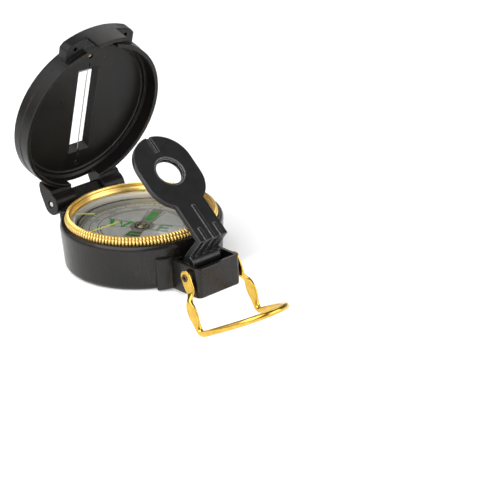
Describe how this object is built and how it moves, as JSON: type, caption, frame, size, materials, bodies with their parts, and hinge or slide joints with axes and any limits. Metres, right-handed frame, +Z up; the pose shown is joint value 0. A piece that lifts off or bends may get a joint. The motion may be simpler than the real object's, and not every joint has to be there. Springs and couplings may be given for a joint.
{
  "type": "sighting compass",
  "caption": "Round pocket compass with a hinged slotted cover and sighting wire, folding eyepiece with a magnifier, knurled turning bezel and a wire thumb loop.",
  "frame": {"origin": "centre of the case's flat underside, on the dial axis", "axes": "+Z up along the dial axis, +Y towards the cover hinge, -Y towards the user's eye and the thumb loop, +X to the user's right"},
  "size_m": [0.0582, 0.1083, 0.092],
  "materials": {
    "case_plastic": "moulded satin gloss",
    "cover_plastic": "fine pebbled outside, smooth inside",
    "eyepiece_plastic": "satin moulded",
    "bezel_brass": "polished, knurled",
    "loop_gold": "satin gold-coloured wire",
    "small_brass": "aged",
    "rivet_bronze": "dark",
    "steel": "drawn",
    "cup_metal": "satin",
    "clear": "clear",
    "rubber": "matt",
    "dial_card": "pale printed",
    "green_paint": "luminous paint",
    "yellow_paint": "luminous paint",
    "jewel": "polished"
  },
  "bodies": {
    "case": {"case": "case_plastic", "capsule_cup": "cup_metal", "window_gasket": "rubber", "capsule_window": "clear", "pivot_post": "small_brass", "hinge_pin": "steel", "eyepiece_pin": "steel", "bezel_snap_ring": "steel"},
    "dial": {"dial_card": "dial_card", "dial_magnets": "steel", "dial_hub": "small_brass", "dial_jewel": "jewel", "luminous_marks": "green_paint"},
    "bezel": {"bezel_ring": "bezel_brass", "crystal": "clear", "crystal_lines": "yellow_paint"},
    "cover": {"cover": "cover_plastic", "sight_wire": "steel", "wire_screws": "small_brass"},
    "eyepiece": {"eyepiece": "eyepiece_plastic", "magnifier_lens": "clear", "lens_ring": "eyepiece_plastic"},
    "loop_pivot": {"loop_rivets": "rivet_bronze"},
    "loop": {"thumb_loop": "loop_gold"}
  },
  "joints": [
    {"name": "cover_hinge", "type": "hinge", "parent": "case", "child": "cover", "pos_m": [0, 0.032, 0.0162], "axis": [1, 0, 0], "range_deg": [-75, 73]},
    {"name": "eyepiece_hinge", "type": "hinge", "parent": "case", "child": "eyepiece", "pos_m": [0, -0.0318, 0.0094], "axis": [1, 0, 0], "range_deg": [-40.16, 41.26]},
    {"name": "loop_fold", "type": "hinge", "parent": "case", "child": "loop_pivot", "pos_m": [0, -0.036, 0.0072], "axis": [-1, 0, 0], "range_deg": [-41.26, 40.16]},
    {"name": "loop_swing", "type": "hinge", "parent": "loop_pivot", "child": "loop", "pos_m": [0, -0.036, 0.0072], "axis": [-1, 0, 0], "range_deg": [-5, 109]},
    {"name": "bezel_turn", "type": "hinge", "parent": "case", "child": "bezel", "pos_m": [0, 0, 0.0169], "axis": [0, 0, 1], "continuous": true},
    {"name": "dial_turn", "type": "hinge", "parent": "case", "child": "dial", "pos_m": [0, 0, 0.0121], "axis": [0, 0, 1], "continuous": true}
  ],
  "couplings": [
    {"joint": "eyepiece_hinge", "follows": "cover_hinge", "ratio": -0.55},
    {"joint": "loop_fold", "follows": "cover_hinge", "ratio": 0.55}
  ]
}
